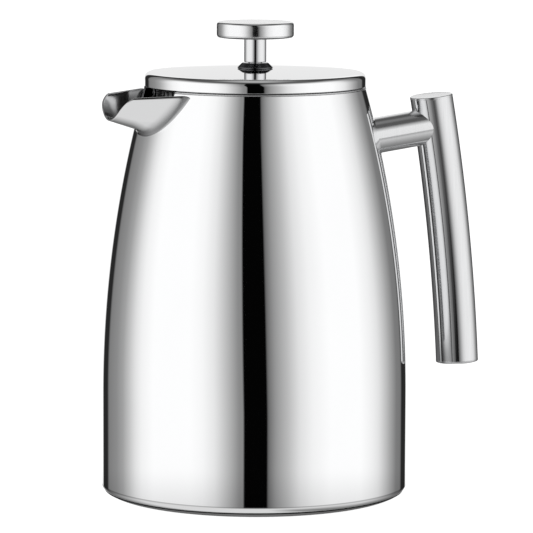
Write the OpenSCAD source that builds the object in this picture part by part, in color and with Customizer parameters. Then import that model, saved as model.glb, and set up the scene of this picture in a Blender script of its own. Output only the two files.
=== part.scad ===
// French press with a double-walled steel vessel, tube handle, lid and plunger.
// Millimetres. The origin is the middle of the foot, on the vessel's axis.
// +Z is up, the handle points to +X and the spout to -X. The plunger is drawn pressed down.

/* [Vessel] */
// Outer radius of the straight lower part of the shell
body_radius = 68.9; // [60:0.1:90]
// Outer radius of the shell at the rim
rim_radius = 49.7; // [48:0.1:58]
// Height of the rim
rim_height = 184.5; // [150:0.5:230]
// Height at which the straight part ends and the shoulder curve starts
shoulder_start = 45; // [25:1:70]
// Inner radius of the inner vessel
bore_radius = 45; // [40:0.1:47]
// Height of the inner vessel's floor
floor_height = 9; // [6:0.5:15]
// Thickness of the steel sheet
sheet = 0.8; // [0.6:0.1:1.2]
// Radius of the shell's bottom edge
bottom_edge = 3; // [2:0.1:6]

/* [Foot] */
// Height of the base plate, which is how far the shell stands off the table
foot_height = 2.3; // [1.5:0.1:4]
// Radius of the flat ring that stands on the table
foot_radius = 59.5; // [50:0.5:62]
// Depth of the recess inside that ring
foot_recess = 1.2; // [0.5:0.1:1.4]

/* [Spout] */
// Distance of the lip from the vessel's axis
spout_reach = 71.2; // [64:0.1:80]
// Half width of the spout where it leaves the rim
spout_root = 24.2; // [20:0.1:28]
// Half width of the lip
spout_lip = 15; // [9:0.1:18]
// How far the lowest point of the lip is below the rim
lip_drop = 12.9; // [8:0.1:16]
// How far the lowest point of the root is below the rim
root_drop = 22.3; // [16:0.1:26]
// How much the spout's upper edges fall from the rim to the lip
spout_fall = 1.2; // [0:0.1:4]
// Lean of the lip's edge, in degrees
lip_lean = 10; // [0:1:20]
// Radius of the round cut through both walls behind the spout
spout_cut = 17.2; // [12:0.1:18]

/* [Handle] */
// Radius of the grip tube
grip_radius = 9.8; // [8:0.1:12]
// Radius of the arc along which the grip is bent
grip_bend = 928; // [400:1:2000]
// Length of the grip along its arc
grip_length = 124.5; // [100:0.5:150]
// Distance of the grip's top end from the vessel's axis
grip_top_reach = 88.7; // [85:0.1:100]
// Height of the grip's top end
grip_top_height = 177.7; // [150:0.1:210]
// Lean of the grip's top end towards the vessel, in degrees
grip_lean = 10.6; // [5:0.05:15]
// Slope of the grip's end faces, in degrees
cap_slope = 6.5; // [0:0.5:12]
// Thickness of the end caps
cap_thickness = 1.2; // [0.8:0.1:3]
// Radius of the arm between vessel and grip
arm_radius = 8.2; // [6:0.1:9.5]
// Distance of the arm's axis below the grip's top end, at the vessel's wall
arm_drop = 18.2; // [14:0.1:40]
// Slope of the arm, in degrees
arm_slope = 7.1; // [0:0.1:12]

/* [Lid] */
// Outer radius of the lid
lid_radius = 49.8; // [49:0.1:58]
// Height of the lid's side and dome together
lid_height = 7.7; // [6:0.1:12]
// How much the top of the lid is domed
lid_dome = 1.8; // [1:0.1:5]
// Radius of the lid's top edge
lid_edge = 3; // [1.5:0.1:3.5]
// How deep the lid's skirt reaches into the vessel
skirt_depth = 13; // [10:0.5:20]
// Number of strainer slots in the skirt
slot_count = 11; // [5:2:15]
// Width of a strainer slot
slot_width = 1.8; // [1:0.1:2.5]

/* [Plunger] */
// Radius of the rod
rod_radius = 3; // [2.5:0.1:4]
// Radius of the sleeve under the knob
stem_radius = 5; // [4:0.1:6]
// Height of that sleeve
stem_height = 10.9; // [8:0.1:20]
// Radius of the knob
knob_radius = 17.4; // [12:0.1:22]
// Height of the knob
knob_height = 7.1; // [5:0.1:12]
// Radius of the knob's edges
knob_edge = 1.2; // [0.5:0.1:2.5]
// Height of the collar round the rod on top of the lid
collar_height = 2.2; // [1.5:0.1:4]
// Radius of that collar
collar_radius = 8; // [7:0.1:10]
// Height of the underside of the cross plate with the plunger pressed down
filter_height = 20; // [17:0.5:40]
// Number of holes in the outer ring of the perforated plate
hole_count = 24; // [12:1:30]

/* [Clearances] */
// Gap between parts that move apart
gap = 0.3; // [0.2:0.05:0.6]
// Radial clearance between the rod and its bush, and between the bush and the lid
running = 0.05; // [0.02:0.01:0.09]
// Radial clearance between the lid's skirt and the vessel
skirt_gap = 0.6; // [0.4:0.05:1]

/* [Hidden] */
$fn = 96;
fine = 360;
eps = 0.01;

shoulder_rise = rim_height - shoulder_start;
shoulder_inset = body_radius - rim_radius;
shoulder_radius = (pow(shoulder_rise, 2) + pow(shoulder_inset, 2)) / (2 * shoulder_inset);
foot_outer = body_radius - bottom_edge / 2 + 0.1;
foot_curve = (pow(foot_outer - foot_radius, 2) + pow(foot_height, 2)) / (2 * foot_height);

// The centre of the grip's arc, in the plane of the handle.
grip_x = grip_top_reach - grip_bend * cos(grip_lean);
grip_z = grip_top_height - grip_bend * sin(grip_lean);
grip_end_lean = grip_lean - grip_length / grip_bend * 180 / PI;
grip_foot_x = grip_x + grip_bend * cos(grip_end_lean);
grip_foot_z = grip_z + grip_bend * sin(grip_end_lean);
// Where the arm's axis starts, inside the shell.
arm_x = 55.5;
tube_wall = 1.4;
spout_start = bore_radius - 1;
// Radius of the shell at the lowest point of the cut behind the spout.
cut_rise = rim_height + gap - spout_cut - shoulder_start;
cut_reach = body_radius - shoulder_radius + sqrt(pow(shoulder_radius, 2) - pow(cut_rise, 2));
arm_z = grip_top_height - arm_drop;
arm_length = grip_top_reach - arm_x + 6;

lid_base = rim_height + gap + 0.1;
lid_top = lid_base + lid_height;
dome_radius = (pow(lid_radius, 2) + pow(lid_dome, 2)) / (2 * lid_dome);
dome_edge = lid_top - dome_radius + sqrt(pow(dome_radius, 2) - pow(lid_radius - lid_edge, 2));
skirt_radius = bore_radius - skirt_gap;

bush_radius = rod_radius + 2.5;
bush_drop = 4.5;
bush_bottom = lid_base - bush_drop;
nut_wall = 3.5;
collar_base = lid_top + gap;
collar_top = collar_base + collar_height;
stem_base = collar_top + gap;
knob_base = stem_base + stem_height;
knob_top = knob_base + knob_height;
thread_radius = rod_radius - 0.5;

plate_radius = bore_radius - 3;
mesh_radius = bore_radius - 0.6;
mesh_base = filter_height + 1;
plate_base = mesh_base + 0.6;
plate_top = plate_base + 1;
coil_radius = 1.2;
coil_ring = bore_radius - gap - coil_radius;
hub_height = 5;
hub_base = filter_height - hub_height;

steel = [0.78, 0.79, 0.8];
dark_steel = [0.5, 0.51, 0.53];
satin = [0.66, 0.67, 0.68];
blackened = [0.16, 0.16, 0.17];

// Half section of the body, set in from its outer face by t.
module body_profile(t = 0) {
    translate([0, foot_height + t])
        square([body_radius - bottom_edge, shoulder_start - foot_height - t]);
    translate([0, foot_height + bottom_edge])
        square([body_radius - t, shoulder_start - foot_height - bottom_edge]);
    translate([body_radius - bottom_edge, foot_height + bottom_edge])
        circle(r = bottom_edge - t);
    intersection() {
        translate([body_radius - shoulder_radius, shoulder_start])
            circle(r = shoulder_radius - t, $fn = fine);
        translate([0, shoulder_start - eps])
            square([body_radius, shoulder_rise + eps]);
    }
}

module body_solid(t = 0) {
    rotate_extrude($fn = 180)
        body_profile(t);
}

// Half section of a flat-bottomed cup with a round corner.
module cup_profile(r, base, top, corner) {
    translate([0, base])
        square([r - corner, top - base]);
    translate([0, base + corner])
        square([r, top - base - corner]);
    translate([r - corner, base + corner])
        circle(r = corner);
}

// The round cut behind the spout, through both walls.
module spout_bore(r) {
    translate([-spout_reach, 0, rim_height + gap])
        rotate([0, 90, 0])
            cylinder(r = r, h = spout_reach - bore_radius * 0.7);
}

module outer_shell() {
    color(steel)
        difference() {
            rotate_extrude($fn = 180)
                difference() {
                    body_profile();
                    body_profile(sheet);
                    square([foot_radius, shoulder_start]);
                    translate([0, rim_height - sheet])
                        square([body_radius, 2 * sheet]);
                }
            spout_bore(spout_cut);
        }
}

module inner_vessel() {
    color(satin)
        difference() {
            rotate_extrude($fn = 180)
                difference() {
                    union() {
                        cup_profile(bore_radius + sheet, floor_height - sheet, rim_height, 6 + sheet);
                        translate([bore_radius, rim_height - sheet])
                            square([rim_radius - bore_radius - sheet / 2, sheet]);
                        translate([rim_radius - sheet / 2, rim_height - sheet / 2])
                            circle(r = sheet / 2, $fn = 24);
                    }
                    cup_profile(bore_radius, floor_height, rim_height + 1, 6);
                }
            spout_bore(spout_cut);
        }
}

module base_plate() {
    color(dark_steel)
        rotate_extrude($fn = 180)
            difference() {
                intersection() {
                    square([foot_outer, foot_height]);
                    union() {
                        square([foot_radius, foot_height]);
                        translate([foot_radius, foot_curve])
                            circle(r = foot_curve, $fn = fine);
                    }
                }
                square([foot_radius - 6, foot_recess]);
            }
}

// Cross section of the spout at distance x from the axis: a round channel, open at the top.
// It is set in by t, and its sides are carried on to the given share of their width.
module spout_slice(x, t, share) {
    part = (x - spout_start) / (spout_reach - spout_start);
    half = spout_root + (spout_lip - spout_root) * part - t * 1.1;
    low = rim_height - root_drop + (root_drop - lip_drop) * part + t * 1.2;
    high = rim_height - sheet - spout_fall * part;
    translate([-x, 0, 0])
        rotate([90, 0, -90])
            linear_extrude(height = 0.1)
                polygon([
                    for (i = [-12 : 12])
                        let (s = i / 12 * share)
                            [half * s, low + (high - low) * pow(s, 2)]
                ]);
}

module spout_form() {
    hull() {
        spout_slice(spout_start, 0, 1);
        spout_slice(spout_reach - 0.1, 0, 1);
    }
}

module spout_channel() {
    hull() {
        spout_slice(spout_start - 12, sheet, 1.25);
        spout_slice(spout_reach + 8, sheet, 1.25);
    }
}

// The lip leans back a little towards its corners.
module spout_front() {
    translate([-spout_reach, 0, rim_height - lip_drop])
        rotate([0, lip_lean, 0])
            translate([-20, -40, -20])
                cube([20, 80, 60]);
}

module spout() {
    color(steel)
        difference() {
            union() {
                difference() {
                    spout_form();
                    spout_channel();
                    body_solid();
                }
                difference() {
                    intersection() {
                        spout_form();
                        body_solid(-sheet);
                    }
                    body_solid();
                }
                intersection() {
                    spout_bore(spout_cut);
                    body_solid(-sheet);
                    translate([-spout_reach, -spout_root, 0])
                        cube([spout_reach, 2 * spout_root, rim_height - sheet]);
                }
            }
            translate([spout_reach - cut_reach - sheet - gap, 0, 0])
                spout_bore(spout_cut - sheet);
            spout_front();
            cylinder(r = bore_radius, h = rim_height + 5, $fn = 180);
        }
}

// The bent bar of the grip, a little longer than the grip at both ends.
module grip_sweep(r) {
    spare = 1;
    translate([grip_x, 0, grip_z])
        rotate([90, 0, 0])
            rotate([0, 0, grip_end_lean - spare])
                rotate_extrude(angle = grip_lean - grip_end_lean + 2 * spare, $fn = 720)
                    translate([grip_bend, 0])
                        circle(r = r);
}

// Everything above the grip's top face, or below its bottom face, moved out by d.
module above_grip(d) {
    translate([grip_top_reach, 0, grip_top_height])
        rotate([0, -cap_slope, 0])
            translate([-40, -40, d])
                cube([80, 80, 60]);
}

module below_grip(d) {
    translate([grip_foot_x, 0, grip_foot_z])
        rotate([0, -grip_end_lean, 0])
            translate([-40, -40, -60 - d])
                cube([80, 80, 60]);
}

module handle_grip() {
    color(steel)
        difference() {
            grip_sweep(grip_radius);
            grip_sweep(grip_radius - tube_wall);
            above_grip(-cap_thickness);
            below_grip(-cap_thickness);
        }
}

module grip_top_cap() {
    color(steel)
        difference() {
            intersection() {
                grip_sweep(grip_radius);
                above_grip(-cap_thickness);
            }
            above_grip(0);
        }
}

module grip_bottom_cap() {
    color(steel)
        difference() {
            intersection() {
                grip_sweep(grip_radius);
                below_grip(-cap_thickness);
            }
            below_grip(0);
        }
}

module handle_arm() {
    color(steel)
        difference() {
            translate([arm_x, 0, arm_z])
                rotate([0, 90 - arm_slope, 0])
                    translate([0, 0, -6])
                        difference() {
                            cylinder(r = arm_radius, h = arm_length + 6);
                            translate([0, 0, -1])
                                cylinder(r = arm_radius - tube_wall, h = arm_length + 8);
                        }
            body_solid();
            grip_sweep(grip_radius);
        }
}

// Half section of the lid's cover, set in from its outer face by t.
module lid_profile(t = 0) {
    translate([0, lid_base - eps])
        square([lid_radius - t, dome_edge - lid_edge - lid_base + eps]);
    translate([lid_radius - lid_edge, dome_edge - lid_edge])
        circle(r = lid_edge - t, $fn = 48);
    intersection() {
        translate([0, lid_top - dome_radius])
            circle(r = dome_radius - t, $fn = fine);
        translate([0, lid_base - eps])
            square([lid_radius - lid_edge, lid_height + 1]);
    }
}

module lid_cover() {
    color(steel)
        rotate_extrude($fn = 180)
            difference() {
                lid_profile();
                lid_profile(sheet);
                square([lid_radius + 1, lid_base]);
                translate([0, lid_base])
                    square([bush_radius + running, lid_height + 5]);
            }
}

module lid_pan() {
    color(satin)
        difference() {
            union() {
                translate([0, 0, lid_base])
                    cylinder(r = lid_radius - sheet, h = sheet, $fn = 180);
                translate([0, 0, lid_base - skirt_depth])
                    cylinder(r = skirt_radius, h = skirt_depth + eps, $fn = 180);
            }
            translate([0, 0, lid_base - skirt_depth - 1])
                cylinder(r = skirt_radius - sheet, h = skirt_depth + 1, $fn = 180);
            translate([0, 0, lid_base - 1])
                cylinder(r = bush_radius + running, h = 4);
            for (i = [0 : slot_count - 1])
                rotate([0, 0, 180 + (i - (slot_count - 1) / 2) * 5])
                    translate([skirt_radius - 4, -slot_width / 2, lid_base - skirt_depth + 3])
                        cube([6, slot_width, skirt_depth - 6]);
        }
}

module lid_bush() {
    color(blackened)
        difference() {
            union() {
                translate([0, 0, bush_bottom])
                    cylinder(r = bush_radius, h = collar_base - bush_bottom + eps);
                translate([0, 0, collar_base])
                    cylinder(r1 = collar_radius - 1.2, r2 = collar_radius, h = collar_height / 3);
                translate([0, 0, collar_base + collar_height / 3])
                    cylinder(r1 = collar_radius, r2 = collar_radius - 1.8, h = collar_height * 2 / 3);
            }
            translate([0, 0, bush_bottom - 1])
                cylinder(r = rod_radius + running, h = collar_top - bush_bottom + 2);
        }
}

module bush_nut() {
    color(blackened)
        translate([0, 0, bush_bottom])
            difference() {
                cylinder(r = bush_radius + nut_wall, h = bush_drop - gap, $fn = 6);
                translate([0, 0, -1])
                    cylinder(r = bush_radius, h = 8);
            }
}

module knob() {
    color(steel)
        difference() {
            rotate_extrude($fn = 180)
                union() {
                    translate([0, knob_base])
                        square([knob_radius - knob_edge, knob_height]);
                    translate([0, knob_base + knob_edge])
                        square([knob_radius, knob_height - 2 * knob_edge]);
                    for (z = [knob_base + knob_edge, knob_top - knob_edge])
                        translate([knob_radius - knob_edge, z])
                            circle(r = knob_edge, $fn = 48);
                }
            translate([0, 0, knob_base - 1])
                cylinder(r = thread_radius, h = knob_height - 1);
        }
}

module knob_sleeve() {
    color(steel)
        translate([0, 0, stem_base])
            difference() {
                cylinder(r = stem_radius, h = stem_height);
                translate([0, 0, -1])
                    cylinder(r = rod_radius, h = stem_height + 2);
            }
}

module plunger_rod() {
    color(satin) {
        translate([0, 0, plate_top])
            cylinder(r = rod_radius, h = knob_base - plate_top);
        translate([0, 0, hub_base])
            cylinder(r = thread_radius, h = knob_top - 2 - hub_base);
    }
}

module rod_nut() {
    color(satin)
        translate([0, 0, plate_top])
            difference() {
                cylinder(r = rod_radius + nut_wall, h = hub_height, $fn = 6);
                translate([0, 0, -1])
                    cylinder(r = rod_radius, h = hub_height + 2);
            }
}

// A dished plate with three rings of holes and an upturned rim that carries the spring.
module perforated_plate() {
    color(steel)
        difference() {
            translate([0, 0, plate_base])
                cylinder(r = plate_radius, h = 5.5, $fn = 180);
            translate([0, 0, plate_top])
                cylinder(r = plate_radius - sheet, h = 5.5, $fn = 180);
            translate([0, 0, plate_base - 1])
                cylinder(r = thread_radius, h = 4);
            for (ring = [0 : 2])
                for (i = [0 : hole_count * (3 - ring) / 3 - 1])
                    rotate([0, 0, i * 360 * 3 / (hole_count * (3 - ring))])
                        translate([plate_radius - 6 - ring * 9, 0, plate_base - 1])
                            cylinder(r = 2.4, h = 4, $fn = 24);
        }
}

module edge_spring() {
    color(satin)
        translate([0, 0, plate_base + coil_radius])
            rotate_extrude($fn = 180)
                translate([coil_ring, 0])
                    circle(r = coil_radius, $fn = 24);
}

module mesh_screen() {
    color(dark_steel)
        translate([0, 0, mesh_base])
            difference() {
                cylinder(r = mesh_radius, h = 0.6, $fn = 180);
                translate([0, 0, -1])
                    cylinder(r = thread_radius, h = 3);
            }
}

module cross_plate() {
    color(steel)
        translate([0, 0, filter_height])
            difference() {
                cylinder(r = plate_radius - 1, h = 1, $fn = 180);
                translate([0, 0, -1])
                    cylinder(r = thread_radius, h = 3);
                for (i = [0 : 3])
                    rotate([0, 0, 45 + i * 90])
                        translate([(plate_radius - 1) * 0.56, 0, -1])
                            cylinder(r = (plate_radius - 1) * 0.33, h = 3);
            }
}

module filter_hub() {
    color(satin)
        translate([0, 0, hub_base])
            difference() {
                cylinder(r = rod_radius + nut_wall, h = hub_height);
                translate([0, 0, -1])
                    cylinder(r = thread_radius, h = hub_height + 2);
            }
}

outer_shell();
inner_vessel();
base_plate();
spout();
handle_arm();
handle_grip();
grip_top_cap();
grip_bottom_cap();
lid_cover();
lid_pan();
lid_bush();
bush_nut();
knob();
knob_sleeve();
plunger_rod();
rod_nut();
perforated_plate();
edge_spring();
mesh_screen();
cross_plate();
filter_hub();
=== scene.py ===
"""Builds the looks of a polished steel french press around its packed CAD model."""

import math

import bpy
from mathutils import Matrix, Vector


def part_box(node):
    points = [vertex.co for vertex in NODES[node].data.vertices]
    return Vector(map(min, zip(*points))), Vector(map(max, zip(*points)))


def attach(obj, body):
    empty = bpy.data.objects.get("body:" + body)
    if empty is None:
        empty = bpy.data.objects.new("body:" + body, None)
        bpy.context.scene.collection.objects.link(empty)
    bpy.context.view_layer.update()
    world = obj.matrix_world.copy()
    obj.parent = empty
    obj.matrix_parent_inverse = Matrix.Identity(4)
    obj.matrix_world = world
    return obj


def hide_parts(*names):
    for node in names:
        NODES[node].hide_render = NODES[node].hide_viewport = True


bl_info = {
    "name": "French press",
    "version": (1, 0, 0),
    "blender": (4, 5, 0),
    "location": "View3D > Sidebar > French press",
    "description": "Models and finishes a double-walled steel french press on its CAD frame",
    "category": "Object",
}

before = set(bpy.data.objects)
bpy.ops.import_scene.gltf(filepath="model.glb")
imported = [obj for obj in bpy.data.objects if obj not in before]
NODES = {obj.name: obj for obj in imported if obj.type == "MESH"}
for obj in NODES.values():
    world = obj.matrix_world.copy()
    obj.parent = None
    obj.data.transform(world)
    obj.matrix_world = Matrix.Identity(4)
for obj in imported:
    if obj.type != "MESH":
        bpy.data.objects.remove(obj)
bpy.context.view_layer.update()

MM = 0.001
PLAY = 0.05 * MM
MERGE = 1e-6
SHELL_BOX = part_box("outer_shell")
VESSEL_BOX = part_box("inner_vessel")
BASE_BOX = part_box("base_plate")
SPOUT_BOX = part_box("spout")
LID_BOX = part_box("lid_cover")
BUSH_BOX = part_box("lid_bush")
KNOB_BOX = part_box("knob")
SLEEVE_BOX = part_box("knob_sleeve")
ROD_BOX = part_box("plunger_rod")
SPRING_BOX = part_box("edge_spring")

FACETS = 192
ARC_STEP = math.radians(7)
GUARD_SHARE = 0.12


# ---------------------------------------------------------------- sizes and colours


def length(name, description, default):
    return bpy.props.FloatProperty(
        name=name, description=description, default=default, precision=5,
        subtype="DISTANCE", unit="LENGTH",
    )


def turn(name, description, degrees):
    return bpy.props.FloatProperty(
        name=name, description=description, default=math.radians(degrees),
        subtype="ANGLE", unit="ROTATION",
    )


def shade(name, description, default):
    return bpy.props.FloatVectorProperty(
        name=name, description=description, default=default, min=0, max=1,
        subtype="COLOR", size=3,
    )


class PressVessel(bpy.types.PropertyGroup):
    """Sizes of the shell, the vessel and the foot."""

    body_radius: length("Body radius", "Outer radius of the straight lower part", SHELL_BOX[1].x)
    rim_radius: length("Rim radius", "Outer radius of the shell at the rim", 0.0497)
    shoulder: length("Shoulder", "Height at which the side starts to curve in", 0.045)
    edge: length("Bottom edge", "Radius of the shell's bottom edge", 0.003)
    sheet: length("Sheet", "Thickness of the steel sheet", 0.0008)
    rim_edge: bpy.props.FloatProperty(
        name="Rim edge", description="Radius of the rim's edges as a share of the sheet, under 0.44",
        default=0.4, min=0.05, max=0.44,
    )
    bore_radius: length("Bore", "Inner radius of the inner vessel", 0.045)
    floor_height: length("Floor", "Height of the inner vessel's floor", 0.009)
    floor_corner: length("Floor corner", "Radius between that floor and the wall", 0.006)
    foot_radius: length("Foot radius", "Radius of the ring that stands on the table", 0.0595)
    foot_width: length("Foot width", "Width of that ring", 0.0052)
    foot_recess: length("Foot recess", "Depth of the recess inside that ring", 0.0012)


class PressSpout(bpy.types.PropertyGroup):
    """Sizes of the spout."""

    reach: length("Reach", "Distance of the lip from the vessel's axis", -SPOUT_BOX[0].x)
    corner_reach: length("Corner reach", "Distance of the lip's corners from the axis", 0.0694)
    lip: length("Lip", "Half width of the lip", 0.015)
    lip_low: length("Lip height", "Height of the lip's lowest point", 0.1713)
    lip_high: length("Corner height", "Height of the lip's corners", 0.1822)
    root: turn("Root", "Half angle of the spout's root around the rim", 29.5)
    root_low: length("Root height", "Height of the root's lowest point", 0.1658)
    corner: length("Corner", "How far the lip's corners are rounded back", 0.004)
    root_fullness: bpy.props.FloatProperty(
        name="Root fullness",
        description="How round the root is: 2 is a parabola, more is flatter below",
        default=2.3, min=1, max=4,
    )
    weld: length("Weld", "Radius of the bend from the spout into the shell", 0.003)
    # Reach of the painted shade from the crease where the spout meets the shell.
    seam: length("Seam", "How far the dressed weld seam reaches into the spout", 0.0052)
    notch: length("Notch", "Radius of the opening in the walls behind the spout", 0.0172)
    bend_share: bpy.props.FloatProperty(
        name="Bend share", description="Share of the sheet's rows that lie in that bend",
        default=0.22, min=0.05, max=0.5,
    )


class PressHandle(bpy.types.PropertyGroup):
    """Sizes of the handle."""

    grip_radius: length("Grip radius", "Radius of the grip tube", 0.0098)
    bend: length("Bend", "Radius of the arc along which the grip is bent", 0.928)
    grip_length: length("Grip length", "Length of the grip along its arc", 0.1245)
    top_reach: length("Top reach", "Distance of the grip's top end from the axis", 0.0887)
    top_height: length("Top height", "Height of the grip's top end", 0.1777)
    lean: turn("Lean", "Lean of the grip's top end towards the vessel", 10.6)
    cap_slope: turn("Cap slope", "Slope of the grip's top face", 6.5)
    cap: length("Cap", "Thickness of the end caps", 0.0012)
    arm_radius: length("Arm radius", "Radius of the arm", 0.0082)
    arm_slope: turn("Arm slope", "Slope of the arm", 7.1)
    arm_height: length("Arm height", "Height of the arm's axis at the shell", 0.1595)
    arm_root: length("Arm root", "Distance of the arm's hidden end from the vessel's axis", 0.0525)


class PressLid(bpy.types.PropertyGroup):
    """Sizes of the lid."""

    radius: length("Radius", "Outer radius of the lid", LID_BOX[1].x)
    dome: length("Dome", "How much the top is domed", 0.0018)
    edge: length("Edge", "Radius of the top edge", 0.003)
    collar_radius: length("Collar radius", "Radius of the collar round the rod", BUSH_BOX[1].x)
    shank_radius: length("Shank radius", "Radius of the collar's shank", 0.0055)


class PressPlunger(bpy.types.PropertyGroup):
    """Sizes of the plunger."""

    knob_radius: length("Knob radius", "Radius of the knob", KNOB_BOX[1].x)
    knob_edge: length("Knob edge", "Radius of the knob's edges", 0.0014)
    sleeve_radius: length("Sleeve radius", "Radius of the sleeve under the knob", SLEEVE_BOX[1].x)
    rod_radius: length("Rod radius", "Radius of the rod", ROD_BOX[1].x)
    coil_radius: length("Coil radius", "Radius of the spring's coil", 0.0012)
    wire_radius: length("Wire radius", "Radius of the spring's wire", 0.00028)
    coil_turns: bpy.props.IntProperty(
        name="Coil turns", description="Turns of the spring", default=150, min=40
    )


class PressFinish(bpy.types.PropertyGroup):
    """Colours of the steels."""

    polished: shade("Polished steel", "Colour of the mirror-polished sheet", (0.9, 0.903, 0.908))
    handle: shade("Handle steel", "Colour of the handle's tubes", (0.76, 0.763, 0.77))
    satin: shade("Satin steel", "Colour of the unpolished inner pieces", (0.66, 0.665, 0.67))
    base: shade("Base steel", "Colour of the base plate", (0.5, 0.503, 0.508))
    # Far darker than steel's own colour: it paints the dark reflection of the ceiling that the polished
    # collar mirrors.
    collar: shade("Collar steel", "Colour of the collar round the rod", (0.16, 0.162, 0.168))
    mesh: shade("Wire mesh", "Colour of the woven wire", (0.52, 0.52, 0.53))
    floor: shade("Floor", "Colour of the floor", (0.9, 0.9, 0.9))


class PressStudio(bpy.types.PropertyGroup):
    """The camera's place and the studio's light."""

    azimuth: turn("Azimuth", "Turn of the camera round the press", -25)
    pitch: turn("Pitch", "How far the camera looks down", 7.06)
    roll: turn("Roll", "Turn of the camera about its own axis", 0.19)
    distance: length("Distance", "Distance of the camera from the axis", 1.8126)
    height: length("Height", "Height of the camera", 0.3276)
    lens: bpy.props.FloatProperty(
        name="Lens", description="Focal length on a sensor 36 mm wide", default=274.1, min=20
    )
    shift: bpy.props.FloatProperty(
        name="Shift", description="Sideways shift of the lens as a share of the frame", default=0.0225
    )
    light: bpy.props.FloatProperty(
        name="Light", description="Strength of the studio's light", default=1.1, min=0
    )
    glow: bpy.props.FloatProperty(
        name="Glow", description="Strength of the floor's own light", default=0.85, min=0
    )


# ---------------------------------------------------------------- modelling by hand


def clear_selection():
    if bpy.context.object and bpy.context.object.mode != "OBJECT":
        bpy.ops.object.mode_set(mode="OBJECT")
    bpy.ops.object.select_all(action="DESELECT")


def select_only(obj):
    clear_selection()
    bpy.context.view_layer.objects.active = obj
    obj.select_set(True)


def edit(obj, kind="VERT"):
    select_only(obj)
    bpy.ops.object.mode_set(mode="EDIT")
    bpy.ops.mesh.select_mode(type=kind)


def leave_edit():
    bpy.ops.object.mode_set(mode="OBJECT")


def face_outwards(obj):
    edit(obj)
    bpy.ops.mesh.select_all(action="SELECT")
    bpy.ops.mesh.normals_make_consistent(inside=False)
    leave_edit()


def place_at_origin(obj):
    select_only(obj)
    bpy.ops.object.transform_apply(location=True, rotation=True, scale=True)


def arc(x, z, radius, start, end, step=ARC_STEP):
    """Points on an arc in the XZ plane, both ends included."""
    count = max(2, math.ceil(abs(end - start) / step))
    angles = [start + (end - start) * i / count for i in range(count + 1)]
    return [(x + radius * math.cos(a), z + radius * math.sin(a)) for a in angles]


def rounded(corners, closed=False):
    """Points along straight lines whose corners are rounded: each corner is x, z and a radius.

    A point stands close to both ends of every arc, so that flat faces keep flat shading. Two corners
    that share a line leave room for both arcs and these points, or the outline runs back on itself.
    """
    path = []
    count = len(corners)
    for i, (x, z, radius) in enumerate(corners):
        if radius <= 0 or (not closed and i in (0, count - 1)):
            path.append((x, z))
            continue
        here = Vector((x, z))
        before = (Vector(corners[i - 1][:2]) - here).normalized()
        after = (Vector(corners[(i + 1) % count][:2]) - here).normalized()
        half = before.angle(after) / 2
        inset = radius / math.tan(half)
        centre = here + (before + after).normalized() * radius / math.sin(half)
        first, last = here + before * inset, here + after * inset
        a = math.atan2(first.y - centre.y, first.x - centre.x)
        b = math.atan2(last.y - centre.y, last.x - centre.x)
        sweep = (b - a + math.pi) % (2 * math.pi) - math.pi
        guard = radius * GUARD_SHARE
        path.append(tuple(first + before * guard))
        path += arc(centre.x, centre.y, radius, a, a + sweep)
        path.append(tuple(last + after * guard))
    return path


def draw_profile(name, points, closed):
    """A chain of edges in the XZ plane, extruded point by point from one vertex."""
    clear_selection()
    x, z = points[0]
    bpy.ops.mesh.primitive_plane_add(size=MM, location=(x, 0, z))
    obj = bpy.context.object
    obj.name = obj.data.name = name
    place_at_origin(obj)
    edit(obj)
    bpy.ops.mesh.select_all(action="SELECT")
    bpy.ops.mesh.merge(type="CENTER")
    for (x0, z0), (x1, z1) in zip(points, points[1:]):
        bpy.ops.mesh.extrude_region_move(TRANSFORM_OT_translate={"value": (x1 - x0, 0, z1 - z0)})
    if closed:
        bpy.ops.mesh.select_all(action="SELECT")
        leave_edit()
        last = len(obj.data.vertices) - 1
        for edge in obj.data.edges:
            edge.select = False
        for vertex in obj.data.vertices:
            vertex.select = vertex.index in (0, last)
        edit(obj)
        bpy.ops.mesh.edge_face_add()
    leave_edit()
    return obj


def lathe(name, points, closed=False, facets=FACETS):
    """A turned piece: the profile spun once round the Z axis."""
    obj = draw_profile(name, points, closed)
    edit(obj)
    bpy.ops.mesh.select_all(action="SELECT")
    bpy.ops.mesh.spin(steps=facets, angle=2 * math.pi, center=(0, 0, 0), axis=(0, 0, 1))
    bpy.ops.mesh.select_all(action="SELECT")
    bpy.ops.mesh.remove_doubles(threshold=MERGE)
    bpy.ops.mesh.normals_make_consistent(inside=False)
    leave_edit()
    return obj


def smooth(obj, degrees=32):
    select_only(obj)
    bpy.ops.object.shade_smooth_by_angle(angle=math.radians(degrees))


def apply_modifier(obj, kind, **values):
    select_only(obj)
    modifier = obj.modifiers.new(kind.title(), kind)
    for key, value in values.items():
        setattr(modifier, key, value)
    bpy.ops.object.modifier_apply(modifier=modifier.name)


def cut(obj, cutter, operation="DIFFERENCE"):
    apply_modifier(obj, "BOOLEAN", object=cutter, operation=operation, solver="EXACT")
    clear_selection()
    cutter.select_set(True)
    bpy.ops.object.delete()


def finish_piece(obj, body, material, slot, *nodes):
    """Gives a piece its material and its place in the frame."""
    obj.data.materials.clear()
    obj.data.materials.append(material)
    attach(obj, body)
    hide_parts(*nodes)
    return obj


def smooth_copy(node, name, degrees=32):
    """A copy of a CAD node with its triangles merged and smoothly shaded."""
    source = NODES[node]
    obj = bpy.data.objects.new(name, source.data.copy())
    bpy.context.scene.collection.objects.link(obj)
    edit(obj)
    bpy.ops.mesh.select_all(action="SELECT")
    bpy.ops.mesh.remove_doubles(threshold=2 * MERGE)
    leave_edit()
    smooth(obj, degrees)
    return obj


def shell_curve(inset=0.0):
    """Centre and radius of the arc that the shell's side follows above the shoulder."""
    v = bpy.context.scene.press_vessel
    rise = VESSEL_BOX[1].z - v.shoulder
    narrowing = v.body_radius - v.rim_radius
    radius = (rise**2 + narrowing**2) / (2 * narrowing)
    return v.body_radius - radius, v.shoulder, radius - inset


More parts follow.
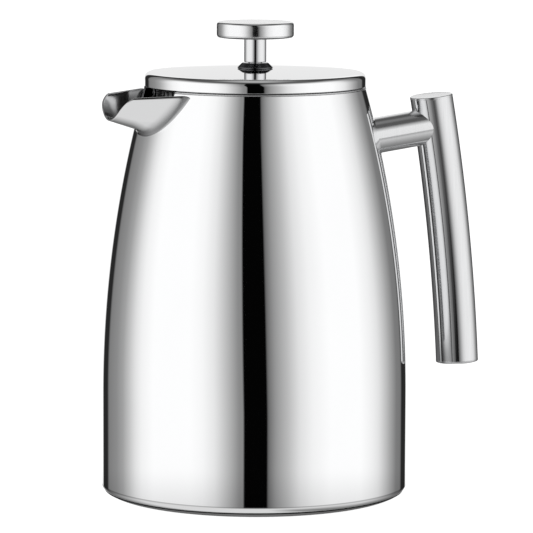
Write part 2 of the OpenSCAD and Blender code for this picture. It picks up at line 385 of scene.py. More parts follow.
def shell_radius(z):
    """Outer radius of the shell at a height."""
    v = bpy.context.scene.press_vessel
    x, low, radius = shell_curve()
    return v.body_radius if z <= low else x + math.sqrt(radius**2 - (z - low) ** 2)


# ---------------------------------------------------------------- materials


class Nodes:
    """Short names for the nodes of one tree."""

    def __init__(self, tree):
        self.tree = tree

    def add(self, kind, **values):
        node = self.tree.nodes.new(kind)
        for key, value in values.items():
            setattr(node, key, value)
        return node

    def link(self, a, b):
        self.tree.links.new(a, b)

    def math(self, operation, a, b=None):
        node = self.add("ShaderNodeMath", operation=operation)
        for socket, value in zip(node.inputs, (a, b)):
            if value is None:
                continue
            if isinstance(value, (int, float)):
                socket.default_value = value
            else:
                self.link(value, socket)
        return node.outputs[0]

    def mapping(self, vector, scale):
        node = self.add("ShaderNodeMapping")
        node.inputs["Scale"].default_value = scale
        self.link(vector, node.inputs["Vector"])
        return node.outputs[0]

    def noise(self, vector, scale, detail=2.0):
        node = self.add("ShaderNodeTexNoise")
        node.inputs["Scale"].default_value = scale
        node.inputs["Detail"].default_value = detail
        self.link(vector, node.inputs["Vector"])
        return node.outputs["Fac"]

    def ramp(self, value, low, high, to_low=0.0, to_high=1.0):
        node = self.add("ShaderNodeMapRange")
        for socket, number in zip(list(node.inputs)[1:5], (low, high, to_low, to_high)):
            socket.default_value = number
        self.link(value, node.inputs[0])
        return node.outputs[0]


def new_group(name, inputs):
    """A shader group whose outputs are a colour factor, a roughness and a height."""
    group = bpy.data.node_groups.new(name, "ShaderNodeTree")
    for label, kind, value in inputs:
        socket = group.interface.new_socket(name=label, in_out="INPUT", socket_type=kind)
        if value is not None:
            socket.default_value = value
    for label in ("Tint", "Roughness", "Height"):
        group.interface.new_socket(name=label, in_out="OUTPUT", socket_type="NodeSocketFloat")
    n = Nodes(group)
    return group, n, n.add("NodeGroupInput"), n.add("NodeGroupOutput")


def polish_group():
    """Mirror polish: faint cloudy variation and hair-fine wiping marks."""
    group, n, given, out = new_group(
        "polish",
        [
            ("Vector", "NodeSocketVector", None),
            ("Roughness", "NodeSocketFloat", 0.05),
            ("Variation", "NodeSocketFloat", 0.02),
        ],
    )
    vector = given.outputs["Vector"]
    cloud = n.noise(n.mapping(vector, (30, 30, 22)), 1.0, 3)
    marks = n.noise(n.mapping(vector, (2600, 2600, 160)), 1.0, 2)
    mix = n.math("ADD", n.math("MULTIPLY", cloud, 0.7), n.math("MULTIPLY", marks, 0.3))
    spread = n.math("MULTIPLY", n.math("SUBTRACT", mix, 0.5), given.outputs["Variation"])
    n.link(n.math("ADD", given.outputs["Roughness"], spread), out.inputs["Roughness"])
    n.link(n.ramp(cloud, 0.25, 0.75, 0.985, 1.0), out.inputs["Tint"])
    n.link(marks, out.inputs["Height"])
    return group


def brushed_group():
    """Brushed grain: fine lines whose direction is set by how the vector is stretched."""
    group, n, given, out = new_group(
        "brushed",
        [
            ("Vector", "NodeSocketVector", None),
            ("Roughness", "NodeSocketFloat", 0.2),
            ("Variation", "NodeSocketFloat", 0.08),
            ("Contrast", "NodeSocketFloat", 0.1),
        ],
    )
    vector = given.outputs["Vector"]
    fine = n.noise(vector, 1.0, 4)
    broad = n.noise(n.mapping(vector, (0.21, 0.21, 0.21)), 1.0, 2)
    grain = n.math("ADD", n.math("MULTIPLY", fine, 0.65), n.math("MULTIPLY", broad, 0.35))
    centred = n.math("SUBTRACT", grain, 0.5)
    spread = n.math("MULTIPLY", centred, given.outputs["Variation"])
    n.link(n.math("ADD", given.outputs["Roughness"], spread), out.inputs["Roughness"])
    contrast = n.math("MULTIPLY", centred, given.outputs["Contrast"])
    n.link(n.math("ADD", 0.96, contrast), out.inputs["Tint"])
    n.link(grain, out.inputs["Height"])
    return group


def ring_vector(n, coordinates, across, around):
    """Distance from the Z axis, angle and height as a vector, for rings left by a lathe."""
    split = n.add("ShaderNodeSeparateXYZ")
    n.link(coordinates, split.inputs[0])
    x, y, z = split.outputs
    radius = n.math("SQRT", n.math("ADD", n.math("MULTIPLY", x, x), n.math("MULTIPLY", y, y)))
    join = n.add("ShaderNodeCombineXYZ")
    n.link(n.math("MULTIPLY", radius, across), join.inputs[0])
    n.link(n.math("MULTIPLY", n.math("ARCTAN2", y, x), around), join.inputs[1])
    n.link(n.math("MULTIPLY", z, across), join.inputs[2])
    return join.outputs[0]


def steel(name, colour, group, values, vector=None, bump=0.0, bump_distance=0.00002, seam=False):
    """A steel whose colour, roughness and normal come from one of the surface groups.

    Where it is asked for, the colour is mixed towards a dark painted shade by the piece's shade
    attribute, and the roughness rises with it.
    """
    material = bpy.data.materials.new(name)
    material.use_nodes = True
    n = Nodes(material.node_tree)
    shader = material.node_tree.nodes["Principled BSDF"]
    coordinates = n.add("ShaderNodeTexCoord").outputs["Object"]
    surface = n.add("ShaderNodeGroup")
    surface.node_tree = group
    n.link(vector(n, coordinates) if vector else coordinates, surface.inputs["Vector"])
    for key, value in values.items():
        surface.inputs[key].default_value = value
    tint = n.add("ShaderNodeMix", data_type="RGBA", blend_type="MULTIPLY")
    tint.inputs["Factor"].default_value = 1
    tint.inputs["A"].default_value = (*colour, 1)
    n.link(surface.outputs["Tint"], tint.inputs["B"])
    finish, roughness = tint.outputs["Result"], surface.outputs["Roughness"]
    # Painted shade: the colour is mixed towards a dark colour where the attribute is high.
    if seam:
        painted_shade_share = n.add("ShaderNodeAttribute", attribute_name="seam").outputs["Fac"]
        shaded = n.add("ShaderNodeMix", data_type="RGBA")
        n.link(painted_shade_share, shaded.inputs["Factor"])
        n.link(finish, shaded.inputs["A"])
        shaded.inputs["B"].default_value = (*PAINTED_SHADE_COLOUR, 1)
        finish = shaded.outputs["Result"]
        roughness = n.math("ADD", roughness, n.math("MULTIPLY", painted_shade_share, 0.3))
    n.link(finish, shader.inputs["Base Color"])
    n.link(roughness, shader.inputs["Roughness"])
    shader.inputs["Metallic"].default_value = 1
    if bump:
        relief = n.add("ShaderNodeBump")
        relief.inputs["Strength"].default_value = bump
        relief.inputs["Distance"].default_value = bump_distance
        n.link(surface.outputs["Height"], relief.inputs["Height"])
        n.link(relief.outputs["Normal"], shader.inputs["Normal"])
    return material


MATERIALS = {}
# Dark colour of the painted shade in the spout's crease and channel.
PAINTED_SHADE_COLOUR = (0.1, 0.102, 0.106)


def make_materials():
    c = bpy.context.scene.press_finish
    polish, brushed = polish_group(), brushed_group()

    def rings(across, around):
        return lambda n, coordinates: ring_vector(n, coordinates, across, around)

    def stretched(x, y, z):
        return lambda n, coordinates: n.mapping(coordinates, (x, y, z))

    MATERIALS.update(
        polished=steel("polished_steel", c.polished, polish, {"Roughness": 0.03, "Variation": 0.03}),
        # The spout's steel carries painted shade in its crease and channel.
        spout=steel(
            "spout_steel_painted_shade", c.polished, polish, {"Roughness": 0.05, "Variation": 0.04}, seam=True
        ),
        knob=steel(
            "knob_steel", c.polished, brushed, {"Roughness": 0.14, "Variation": 0.1, "Contrast": 0.08},
            rings(3200, 6), bump=0.12,
        ),
        grip=steel(
            "grip_steel", c.handle, brushed, {"Roughness": 0.06, "Variation": 0.06, "Contrast": 0.2},
            stretched(2600, 2600, 60), bump=0.03,
        ),
        arm=steel(
            "arm_steel", c.handle, brushed, {"Roughness": 0.13, "Variation": 0.1, "Contrast": 0.16},
            stretched(2600, 60, 60), bump=0.06,
        ),
        cap=steel(
            "cap_steel", c.handle, brushed, {"Roughness": 0.2, "Variation": 0.1, "Contrast": 0.1},
            stretched(2600, 90, 90), bump=0.1,
        ),
        satin=steel(
            "satin_steel", c.satin, brushed, {"Roughness": 0.3, "Variation": 0.12, "Contrast": 0.14},
            rings(2400, 5), bump=0.15,
        ),
        base=steel(
            "base_steel", c.base, brushed, {"Roughness": 0.32, "Variation": 0.12, "Contrast": 0.2},
            rings(1800, 4), bump=0.2,
        ),
        # The collar's near-black colour is a painted reflection of the dark ceiling.
        collar=steel(
            "collar_steel_painted_dark", c.collar, brushed, {"Roughness": 0.07, "Variation": 0.06, "Contrast": 0.15},
            rings(3000, 5), bump=0.1,
        ),
        rod=steel("rod_steel", c.handle, polish, {"Roughness": 0.08, "Variation": 0.05}),
        spring=steel("spring_steel", c.satin, polish, {"Roughness": 0.22, "Variation": 0.1}),
        mesh=steel(
            "mesh_steel", c.mesh, brushed, {"Roughness": 0.36, "Variation": 0.2, "Contrast": 0.5},
            stretched(1300, 1300, 1300), bump=0.4,
        ),
    )


# ---------------------------------------------------------------- the pieces


class PRESS_OT_shell(bpy.types.Operator):
    """Spins the double wall's outer shell and cuts the opening behind the spout"""

    bl_idname = "press.shell"
    bl_label = "Outer shell"

    def execute(self, context):
        v = context.scene.press_vessel
        low, top, sheet = SHELL_BOX[0].z, SHELL_BOX[1].z, v.sheet
        x, z, outer = shell_curve()
        inner = outer - sheet
        side = arc(x, z, outer, 0, math.asin((top - z) / outer), math.radians(0.35))
        back = arc(x, z, inner, math.asin((top - z) / inner), 0, math.radians(0.7))
        bottom = rounded([(v.foot_radius, low, 0), (v.body_radius, low, v.edge), (v.body_radius, z, 0)])
        inside = rounded(
            [
                (v.body_radius - sheet, z, 0),
                (v.body_radius - sheet, low + sheet, v.edge - sheet),
                (v.foot_radius, low + sheet, 0),
            ]
        )
        shell = lathe("outer_shell_body", bottom[:-1] + side + back + inside[1:], closed=True)
        cut(shell, spout_cutter())
        smooth(shell)
        finish_piece(shell, "carafe", MATERIALS["polished"], "polished_steel", "outer_shell")
        return {"FINISHED"}


def spout_cutter():
    """The round bar that opens both walls behind the spout."""
    clear_selection()
    scene = bpy.context.scene
    reach = scene.press_spout.reach
    inner = scene.press_vessel.bore_radius * 0.7
    bpy.ops.mesh.primitive_cylinder_add(
        vertices=96,
        radius=scene.press_spout.notch,
        depth=reach - inner,
        location=(-(reach + inner) / 2, 0, VESSEL_BOX[1].z + 0.3 * MM),
        rotation=(0, math.pi / 2, 0),
    )
    cutter = bpy.context.object
    place_at_origin(cutter)
    return cutter


class PRESS_OT_vessel(bpy.types.Operator):
    """Spins the inner vessel with its rounded floor and the rim that joins the shell"""

    bl_idname = "press.vessel"
    bl_label = "Inner vessel"

    def execute(self, context):
        v = context.scene.press_vessel
        top, sheet, corner = VESSEL_BOX[1].z, v.sheet, v.floor_corner
        outside = v.bore_radius + sheet
        profile = rounded(
            [
                (0, v.floor_height - sheet, 0),
                (outside, v.floor_height - sheet, corner + sheet),
                (outside, top - sheet, sheet),
                (v.rim_radius, top - sheet, sheet * v.rim_edge),
                (v.rim_radius, top, sheet * v.rim_edge),
                (v.bore_radius, top, sheet),
                (v.bore_radius, v.floor_height, corner),
                (0, v.floor_height, 0),
            ]
        )
        vessel = lathe("inner_vessel_wall", profile)
        cut(vessel, spout_cutter())
        smooth(vessel)
        finish_piece(vessel, "carafe", MATERIALS["satin"], "satin_steel", "inner_vessel")
        return {"FINISHED"}


class PRESS_OT_base(bpy.types.Operator):
    """Spins the base plate with its foot ring and recess"""

    bl_idname = "press.base"
    bl_label = "Base plate"

    def execute(self, context):
        v = context.scene.press_vessel
        top, outer, slope = BASE_BOX[1].z, BASE_BOX[1].x, 0.8 * MM
        radius = ((outer - v.foot_radius) ** 2 + top**2) / (2 * top)
        sweep = math.asin((outer - v.foot_radius) / radius)
        band = arc(v.foot_radius, radius, radius, -math.pi / 2, sweep - math.pi / 2, math.radians(3))
        under = rounded(
            [
                (0, v.foot_recess, 0),
                (v.foot_radius - v.foot_width - slope, v.foot_recess, 0.8 * MM),
                (v.foot_radius - v.foot_width, 0, 0.4 * MM),
                (v.foot_radius, 0, 0),
            ]
        )
        base = lathe("base_plate_foot", under[:-1] + band + [(outer - 0.3 * MM, top), (0, top)])
        smooth(base)
        finish_piece(base, "carafe", MATERIALS["base"], "base_steel", "base_plate")
        return {"FINISHED"}


class PRESS_OT_spout(bpy.types.Operator):
    """Lays a sheet from the root on the shell to the lip and gives it its thickness"""

    bl_idname = "press.spout"
    bl_label = "Spout"

    def execute(self, context):
        scene = context.scene
        s, v = scene.press_spout, scene.press_vessel
        across, along = 48, 28
        clear_selection()
        bpy.ops.mesh.primitive_grid_add(x_subdivisions=along, y_subdivisions=across, size=2)
        spout = context.object
        spout.name = spout.data.name = "spout_sheet"
        top = SPOUT_BOX[1].z - 0.4 * MM
        sunk, aside = 0.2 * MM, 0.01

        def joint(side):
            """A point of the root's line on the shell."""
            height = s.root_low + (top - s.root_low) * abs(side) ** s.root_fullness
            angle, radius = side * s.root, shell_radius(height)
            return Vector((-radius * math.cos(angle), radius * math.sin(angle), height))

        def lip(side):
            """A point of the lip, whose corners are rounded off."""
            reach = s.reach + (s.corner_reach - s.reach) * side**2 - s.corner * abs(side) ** 8
            return Vector((-reach, side * s.lip, s.lip_low + (s.lip_high - s.lip_low) * side**2))

        for vertex in spout.data.vertices:
            part, side = (vertex.co.x + 1) / 2, vertex.co.y
            root, end = joint(side), lip(side)
            outward = Vector((root.x, root.y, 0)).normalized()
            away = outward.cross(joint(side + aside) - joint(side - aside)).normalized()
            foot = root + away * s.weld
            flat = Vector((foot.x, foot.y, 0)).normalized() * (shell_radius(foot.z) - sunk)
            foot = Vector((flat.x, flat.y, foot.z))
            start = root + (end - root).normalized() * s.weld
            if part < s.bend_share:
                t = part / s.bend_share
                vertex.co = foot * (1 - t) ** 2 + root * 2 * t * (1 - t) + start * t * t
            else:
                vertex.co = start.lerp(end, (part - s.bend_share) / (1 - s.bend_share))
        place_at_origin(spout)
        face_outwards(spout)
        middle = min(spout.data.polygons, key=lambda p: abs(p.center.y) - p.center.x * 0.01)
        apply_modifier(spout, "SOLIDIFY", thickness=v.sheet, offset=-1 if middle.normal.z < 0 else 1)
        face_outwards(spout)
        apply_modifier(
            spout, "BEVEL", width=0.32 * MM, segments=3,
            limit_method="ANGLE", angle_limit=math.radians(50),
        )
        smooth(spout, 40)
        # Painted shade: the colour is darkest in the crease where the spout meets the shell, and darker
        # inside the channel too; the roughness rises with it.
        seam = spout.data.attributes.new("seam", "FLOAT", "POINT")
        half = 60
        line = [joint(i / half) for i in range(-half, half + 1)]
        for vertex, shading in zip(spout.data.vertices, seam.data):
            away = min((vertex.co - point).length for point in line)
            # Faces inside the channel get painted shade: their colour is mixed 0.4 of the way to the
            # dark colour, and their roughness rises to a satin finish.
            inside = 0.4 if vertex.normal.z > 0.1 else 0.0
            shading.value = max(inside, max(0.0, 1 - away / s.seam) ** 1.8)
        finish_piece(spout, "carafe", MATERIALS["spout"], "polished_steel", "spout")
        return {"FINISHED"}


class PRESS_OT_handle(bpy.types.Operator):
    """Bends the grip tube, closes it with its caps and joins it to the shell with the arm"""

    bl_idname = "press.handle"
    bl_label = "Handle"

    def execute(self, context):
        h = context.scene.press_handle
        head = Vector((h.top_reach, 0, h.top_height))
        centre = Vector(
            (h.top_reach - h.bend * math.cos(h.lean), 0, h.top_height - h.bend * math.sin(h.lean))
        )
        end_lean = h.lean - h.grip_length / h.bend
        foot = centre + Vector((math.cos(end_lean), 0, math.sin(end_lean))) * h.bend
        head_normal = Vector((-math.sin(h.cap_slope), 0, math.cos(h.cap_slope)))
        foot_normal = Vector((math.sin(end_lean), 0, -math.cos(end_lean)))

        def bar(name, planes, edge_plane=None):
            """A length of the bent bar between two cutting planes."""
            clear_selection()
            spare = math.radians(1)
            start = h.lean + spare
            bpy.ops.mesh.primitive_circle_add(
                vertices=96,
                radius=h.grip_radius,
                fill_type="NGON",
                location=centre + Vector((math.cos(start), 0, math.sin(start))) * h.bend,
                rotation=(0, -start, 0),
            )
            piece = context.object
            piece.name = piece.data.name = name
            place_at_origin(piece)
            edit(piece, "FACE")
            bpy.ops.mesh.select_all(action="SELECT")
            sweep = h.lean - end_lean + 2 * spare
            bpy.ops.mesh.spin(steps=72, angle=sweep, center=centre, axis=(0, -1, 0))
            for point, normal in planes:
                bpy.ops.mesh.select_all(action="SELECT")
                bpy.ops.mesh.bisect(plane_co=point, plane_no=normal, use_fill=True, clear_outer=True)
            bpy.ops.mesh.select_all(action="SELECT")
            bpy.ops.mesh.remove_doubles(threshold=MERGE)
            bpy.ops.mesh.normals_make_consistent(inside=False)
            leave_edit()
            if edge_plane:
                point, normal = edge_plane
                near = 0.01 * MM
                for edge in piece.data.edges:
                    ends = [piece.data.vertices[i].co for i in edge.vertices]
                    edge.select = all(abs((co - point).dot(normal)) < near for co in ends)
                for face in piece.data.polygons:
                    face.select = False
                for vertex in piece.data.vertices:
                    vertex.select = abs((vertex.co - point).dot(normal)) < near
                edit(piece, "EDGE")
                bpy.ops.mesh.bevel(offset=0.4 * MM, segments=4, affect="EDGES")
                leave_edit()
            smooth(piece)
            return piece

        head_seam, foot_seam = head - head_normal * h.cap, foot - foot_normal * h.cap
        head_plane, foot_plane = (head, head_normal), (foot, foot_normal)
        grip = bar("handle_grip_tube", [(head_seam, head_normal), (foot_seam, foot_normal)])
        top_cap = bar("grip_cap_top", [head_plane, (head_seam, -head_normal)], head_plane)
        foot_cap = bar("grip_cap_bottom", [foot_plane, (foot_seam, -foot_normal)], foot_plane)
        finish_piece(grip, "carafe", MATERIALS["grip"], "handle_steel", "handle_grip")
        finish_piece(top_cap, "carafe", MATERIALS["cap"], "handle_steel", "grip_top_cap")
        finish_piece(foot_cap, "carafe", MATERIALS["cap"], "handle_steel", "grip_bottom_cap")

        # The arm runs from inside the double wall to just past the middle of the grip.
        inside, past = 3 * MM, 2 * MM
        start = Vector((h.arm_root, 0, h.arm_height - inside * math.tan(h.arm_slope)))
        way = Vector((math.cos(h.arm_slope), 0, math.sin(h.arm_slope)))
        reach = (h.top_reach + past - start.x) / math.cos(h.arm_slope)
        clear_selection()
        bpy.ops.mesh.primitive_cylinder_add(
            vertices=128,
            radius=h.arm_radius,
            depth=reach,
            location=start + way * reach / 2,
            rotation=(0, math.pi / 2 - h.arm_slope, 0),
        )
        arm = context.object
        arm.name = arm.data.name = "handle_arm_tube"
        place_at_origin(arm)
        smooth(arm)
        finish_piece(arm, "carafe", MATERIALS["arm"], "handle_steel", "handle_arm")
        return {"FINISHED"}


class PRESS_OT_lid(bpy.types.Operator):
    """Spins the lid's domed cover and smooths its pan"""

    bl_idname = "press.lid"
    bl_label = "Lid"

    def execute(self, context):
        scene = context.scene
        lid, sheet = scene.press_lid, scene.press_vessel.sheet
        low, top = LID_BOX[0].z, LID_BOX[1].z
        dome = (lid.radius**2 + lid.dome**2) / (2 * lid.dome)
        bore = lid.shank_radius + PLAY

        def cover(inset):
            """Half of the cover from its lower edge to the bore."""
            centre_z = top - dome
            outer, edge = dome - inset, lid.edge - inset
            x = lid.radius - lid.edge
            z = centre_z + math.sqrt((dome - lid.edge) ** 2 - x**2)
            lean = math.atan2(x, z - centre_z)
            corner = arc(x, z, edge, 0, math.pi / 2 - lean)
            end = math.asin(bore / outer)
            crown = arc(0, centre_z, outer, math.pi / 2 - lean, math.pi / 2 - end, math.radians(0.25))
            return [(lid.radius - inset, low), (lid.radius - inset, z - 0.0003)] + corner + crown[1:]

        outside, inside = cover(0), cover(sheet)
        rim = [(lid.radius - sheet * 0.25, low), (lid.radius, low + sheet * 0.25)]
        profile = rim + outside[1:] + inside[::-1]
        obj = lathe("lid_cover_dome", profile, closed=True)
        smooth(obj)
        finish_piece(obj, "lid", MATERIALS["polished"], "polished_steel", "lid_cover")
        pan = smooth_copy("lid_pan", "lid_pan_skirt")
        finish_piece(pan, "lid", MATERIALS["satin"], "satin_steel", "lid_pan")
        return {"FINISHED"}


class PRESS_OT_collar(bpy.types.Operator):
    """Spins the collar that guides the rod and smooths its nut"""

    bl_idname = "press.collar"
    bl_label = "Collar"

    def execute(self, context):
        scene = context.scene
        lid, p = scene.press_lid, scene.press_plunger
        low, top, radius = BUSH_BOX[0].z, BUSH_BOX[1].z, lid.collar_radius
        seat = LID_BOX[1].z + 0.03 * MM
        bore = p.rod_radius + PLAY
        profile = rounded(
            [
                (bore, low, 0.0002),
                (lid.shank_radius, low, 0.0003),
                (lid.shank_radius, seat, 0.0002),
                (radius - 0.0002, seat, 0.0001),
                (radius, seat + 0.0004, 0.0003),
                (radius - 0.0021, top, 0.0006),
                (bore, top, 0.0003),
            ],
            closed=True,
        )
        collar = lathe("lid_collar", profile, closed=True, facets=128)
        smooth(collar)
        finish_piece(collar, "lid_carrier", MATERIALS["collar"], "bush_steel", "lid_bush")
        nut = smooth_copy("bush_nut", "lid_collar_nut")
        finish_piece(nut, "lid_carrier", MATERIALS["collar"], "bush_steel", "bush_nut")
        return {"FINISHED"}


class PRESS_OT_knob(bpy.types.Operator):
    """Spins the knob, the sleeve under it and the rod"""

    bl_idname = "press.knob"
    bl_label = "Knob and rod"

    def execute(self, context):
        p = context.scene.press_plunger
        low, top = KNOB_BOX[0].z, KNOB_BOX[1].z
        knob = lathe(
            "knob_disc",
            rounded(
                [
                    (0, low, 0),
                    (p.knob_radius, low, p.knob_edge),
                    (p.knob_radius, top, p.knob_edge),
                    (0, top, 0),
                ]
            ),
        )
        smooth(knob)
        finish_piece(knob, "plunger", MATERIALS["knob"], "polished_steel", "knob")
        low, top = SLEEVE_BOX[0].z, SLEEVE_BOX[1].z
        sleeve = lathe(
            "knob_sleeve_tube",
            rounded(
                [
                    (p.rod_radius, low, 0.0002),
                    (p.sleeve_radius, low, 0.0003),
                    (p.sleeve_radius, top + 0.0003, 0.0001),
                    (p.rod_radius, top + 0.0003, 0.0001),
                ],
                closed=True,
            ),
            closed=True,
            facets=96,
        )
        smooth(sleeve)
        finish_piece(sleeve, "plunger", MATERIALS["rod"], "polished_steel", "knob_sleeve")
        low, top = ROD_BOX[0].z, SLEEVE_BOX[1].z
        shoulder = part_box("rod_nut")[0].z
        thin = p.rod_radius - 0.0005
        rod = lathe(
            "plunger_rod_bar",
            rounded(
                [
                    (0, low, 0),
                    (thin, low, 0.0004),
                    (thin, shoulder, 0),
                    (p.rod_radius, shoulder, 0),
                    (p.rod_radius, top, 0),
                    (0, top, 0),
                ]
            ),
            facets=96,
        )
        smooth(rod)
        finish_piece(rod, "plunger", MATERIALS["rod"], "rod_steel", "plunger_rod")
        return {"FINISHED"}


class PRESS_OT_filter(bpy.types.Operator):
    """Smooths the filter's plates and nuts and winds the spring round their edge"""

    bl_idname = "press.filter"
    bl_label = "Filter"

    def execute(self, context):
        p = context.scene.press_plunger
        for node, material, slot in (
            ("rod_nut", "rod", "rod_steel"),
            ("perforated_plate", "satin", "satin_steel"),
            ("mesh_screen", "mesh", "mesh_steel"),
            ("cross_plate", "satin", "satin_steel"),
            ("filter_hub", "rod", "rod_steel"),
        ):
            finish_piece(smooth_copy(node, node + "_piece"), "plunger", MATERIALS[material], slot, node)
        low, high = SPRING_BOX
        coil = p.coil_radius - p.wire_radius
        ring = high.x - p.coil_radius
        middle = (low.z + high.z) / 2
        per_turn = 10
        count = p.coil_turns * per_turn
        curve = bpy.data.curves.new("edge_spring_coil", "CURVE")
        curve.dimensions = "3D"
        curve.bevel_depth = p.wire_radius
        curve.bevel_resolution = 1
        spline = curve.splines.new("POLY")
        spline.points.add(count - 1)
        for i, point in enumerate(spline.points):
            round_axis = 2 * math.pi * i / count
            round_ring = 2 * math.pi * i / per_turn
            reach = ring + coil * math.cos(round_ring)
            point.co = (
                reach * math.cos(round_axis),
                reach * math.sin(round_axis),
                middle + coil * math.sin(round_ring),
                1,
            )
        spline.use_cyclic_u = True
        spring = bpy.data.objects.new("edge_spring_coil", curve)
        context.scene.collection.objects.link(spring)
        select_only(spring)
        bpy.ops.object.convert(target="MESH")
        spring = context.object
        smooth(spring, 80)
        finish_piece(spring, "plunger", MATERIALS["spring"], "spring_steel", "edge_spring")
        return {"FINISHED"}


# ---------------------------------------------------------------- the stage

# How bright the studio is in each direction round the press, in degrees from the camera:
# a dark gap for the camera, two soft boxes that fade towards it, dark flags and the bright back.
# A colour ramp holds 32 stops, so the last directions have a ramp of their own.
STUDIO_RING = (
    (-180, 1.0), (-164, 1.0), (-160, 0.02), (-147, 0.02), (-143, 0.2), (-128, 0.26), (-118, 0.36),
    (-110, 0.54), (-102, 0.76), (-95, 0.9), (-83, 1.0), (-50, 1.0), (-40, 0.94), (-31, 0.8),
    (-22, 0.53), (-12.5, 0.26), (-9.3, 0.24), (-8.9, 0.001), (8.9, 0.001), (9.3, 0.14), (14.8, 0.3),
    (24, 0.5), (33, 0.75), (43, 0.9), (58, 1.0), (86, 1.0), (99, 0.88), (106, 0.78), (114, 0.58),
    (123, 0.38), (134, 0.2), (143, 0.18),
)  # fmt: skip
STUDIO_END = ((147, 0.02), (161, 0.02), (165, 1.0), (180, 1.0))


def studio_world(scene):
    """A studio drawn on the sky: what it shows depends on the direction only."""
    s = scene.press_studio
    world = bpy.data.worlds.new("studio")
    scene.world = world
    world.use_nodes = True
    tree = world.node_tree
    n = Nodes(tree)
    background = tree.nodes["Background"]
    split = n.add("ShaderNodeSeparateXYZ")
    n.link(n.add("ShaderNodeTexCoord").outputs["Generated"], split.inputs[0])
    x, y, z = split.outputs
    right = (math.cos(s.azimuth), math.sin(s.azimuth))
    front = (math.sin(s.azimuth), -math.cos(s.azimuth))

    def along(way):
        return n.math("ADD", n.math("MULTIPLY", x, way[0]), n.math("MULTIPLY", y, way[1]))

    towards, sideways = along(front), along(right)
    height = n.math("MULTIPLY", n.math("ARCSINE", z), 180 / math.pi)
    angle = n.math("MULTIPLY", n.math("ARCTAN2", sideways, towards), 180 / math.pi)
    # The gap between the soft boxes leans a little.
    angle = n.math("ADD", angle, n.ramp(height, -9.5, 22, -1.5, 2.7))

    def strip(stops):
        low, high = stops[0][0], stops[-1][0]
        node = n.add("ShaderNodeValToRGB")
        ramp = node.color_ramp
        while len(ramp.elements) < len(stops):
            ramp.elements.new(1)
        for element, (degrees, value) in zip(ramp.elements, stops):
            element.position = (degrees - low) / (high - low)
            element.color = (value, value, value, 1)
        n.link(n.ramp(angle, low, high), node.inputs[0])
        return node.outputs[0]

    first = strip(STUDIO_RING)
    rest = strip(((STUDIO_RING[-1],) + STUDIO_END))
    choose = n.add("ShaderNodeMix", data_type="RGBA")
    n.link(n.math("GREATER_THAN", angle, STUDIO_RING[-1][0]), choose.inputs["Factor"])
    n.link(first, choose.inputs["A"])
    n.link(rest, choose.inputs["B"])
    # Above the soft boxes the studio is dark up to a pale ceiling panel.
    # The back is less bright than the boxes, and just above the table everything dims.
    ceiling = n.math("ADD", n.ramp(height, 28, 52, 1.0, 0.11), n.ramp(height, 66, 84, 0, 0.4))
    back = n.math("MULTIPLY", n.ramp(towards, -0.9, -0.97), n.ramp(height, -1, 1.5))
    low = n.ramp(height, -9.9, -11.4, 1.0, 0.4)
    level = n.math("MULTIPLY", n.math("MULTIPLY", ceiling, low), n.ramp(back, 0, 1, 1.0, 0.78))
    # Overhead the flags and gaps end.
    overhead = n.add("ShaderNodeMix", data_type="RGBA")
    dim = n.add("ShaderNodeMix", data_type="RGBA", blend_type="MULTIPLY")
    dim.inputs["Factor"].default_value = 1
    n.link(n.ramp(height, 46, 66), overhead.inputs["Factor"])
    n.link(choose.outputs["Result"], overhead.inputs["A"])
    overhead.inputs["B"].default_value = (1, 1, 1, 1)
    n.link(overhead.outputs["Result"], dim.inputs["A"])
    n.link(level, dim.inputs["B"])
    # The table fills the lower half: lighter in front of the press than behind it and on its right.
    shaded = n.math("MULTIPLY", n.ramp(sideways, 0.15, 0.4, 0, 0.7), n.ramp(height, -25, -60))
    lit = n.ramp(towards, -0.75, -0.12, 0.16, 0.68)
    table = n.math("MULTIPLY", lit, n.math("SUBTRACT", 1.0, shaded))
    ground = n.add("ShaderNodeMix", data_type="RGBA")
    n.link(n.ramp(height, -11, -24), ground.inputs["Factor"])
    n.link(dim.outputs["Result"], ground.inputs["A"])
    n.link(table, ground.inputs["B"])
    seen = n.add("ShaderNodeMix", data_type="RGBA")
    n.link(n.add("ShaderNodeLightPath").outputs["Is Camera Ray"], seen.inputs["Factor"])
    n.link(ground.outputs["Result"], seen.inputs["A"])
    seen.inputs["B"].default_value = (1, 1, 1, 1)
    n.link(seen.outputs["Result"], background.inputs["Color"])
    background.inputs["Strength"].default_value = s.light


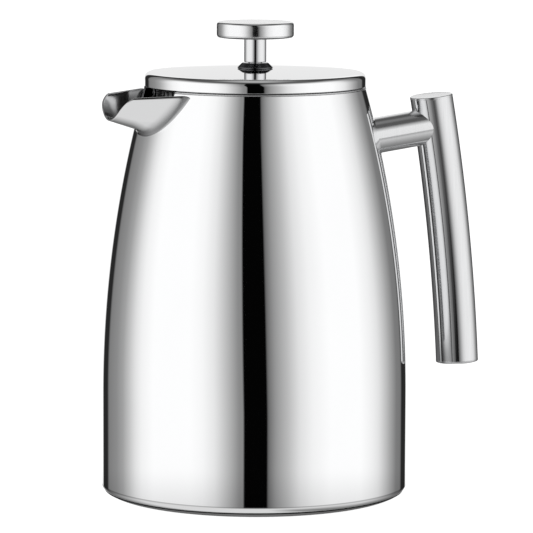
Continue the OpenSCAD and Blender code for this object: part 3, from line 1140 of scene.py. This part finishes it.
class PRESS_OT_stage(bpy.types.Operator):
    """Places the floor, the studio's light and the camera"""

    bl_idname = "press.stage"
    bl_label = "Stage"

    def execute(self, context):
        scene = context.scene
        s = scene.press_studio
        clear_selection()
        bpy.ops.mesh.primitive_plane_add(size=8, location=(0, 0, -0.0002))
        floor = context.object
        floor.name = "floor"
        place_at_origin(floor)
        material = bpy.data.materials.new("pale_floor")
        material.use_nodes = True
        shader = material.node_tree.nodes["Principled BSDF"]
        shader.inputs["Base Color"].default_value = (*scene.press_finish.floor, 1)
        shader.inputs["Roughness"].default_value = 0.9
        shader.inputs["Specular IOR Level"].default_value = 0
        shader.inputs["Emission Color"].default_value = (1, 1, 1, 1)
        shader.inputs["Emission Strength"].default_value = s.glow
        floor.data.materials.append(material)
        floor.visible_glossy = False
        studio_world(scene)
        data = bpy.data.cameras.new("camera")
        camera = bpy.data.objects.new("camera", data)
        scene.collection.objects.link(camera)
        camera.location = (
            math.sin(s.azimuth) * s.distance,
            -math.cos(s.azimuth) * s.distance,
            s.height,
        )
        way = Matrix.Rotation(s.azimuth, 3, "Z") @ Matrix.Rotation(math.pi / 2 - s.pitch, 3, "X")
        camera.rotation_euler = (way @ Matrix.Rotation(s.roll, 3, "Z")).to_euler()
        data.lens = s.lens
        data.sensor_width = 36
        data.shift_x = s.shift
        data.clip_end = 50
        scene.camera = camera
        scene.view_settings.view_transform = "Standard"
        return {"FINISHED"}


class PRESS_PT_panel(bpy.types.Panel):
    """Lists the pieces and their sizes"""

    bl_idname = "PRESS_PT_panel"
    bl_label = "French press"
    bl_space_type = "VIEW_3D"
    bl_region_type = "UI"
    bl_category = "French press"

    def draw(self, context):
        layout = self.layout
        for name, group in GROUPS.items():
            box = layout.box()
            box.label(text=group.__doc__)
            for prop in group.__annotations__:
                box.prop(getattr(context.scene, name), prop)
        for step in STEPS:
            layout.operator(step.bl_idname)


GROUPS = {
    "press_vessel": PressVessel,
    "press_spout": PressSpout,
    "press_handle": PressHandle,
    "press_lid": PressLid,
    "press_plunger": PressPlunger,
    "press_finish": PressFinish,
    "press_studio": PressStudio,
}
STEPS = (
    PRESS_OT_shell,
    PRESS_OT_vessel,
    PRESS_OT_base,
    PRESS_OT_spout,
    PRESS_OT_handle,
    PRESS_OT_lid,
    PRESS_OT_collar,
    PRESS_OT_knob,
    PRESS_OT_filter,
    PRESS_OT_stage,
)


def register():
    for cls in (*GROUPS.values(), *STEPS, PRESS_PT_panel):
        bpy.utils.register_class(cls)
    for name, group in GROUPS.items():
        setattr(bpy.types.Scene, name, bpy.props.PointerProperty(type=group))


def unregister():
    for name in GROUPS:
        delattr(bpy.types.Scene, name)
    for cls in reversed((*GROUPS.values(), *STEPS, PRESS_PT_panel)):
        bpy.utils.unregister_class(cls)


def main():
    register()
    make_materials()
    for step in STEPS:
        group, name = step.bl_idname.split(".")
        if getattr(getattr(bpy.ops, group), name)() != {"FINISHED"}:
            raise RuntimeError(f"{step.bl_label} did not finish")


if __name__ == "__main__":
    main()
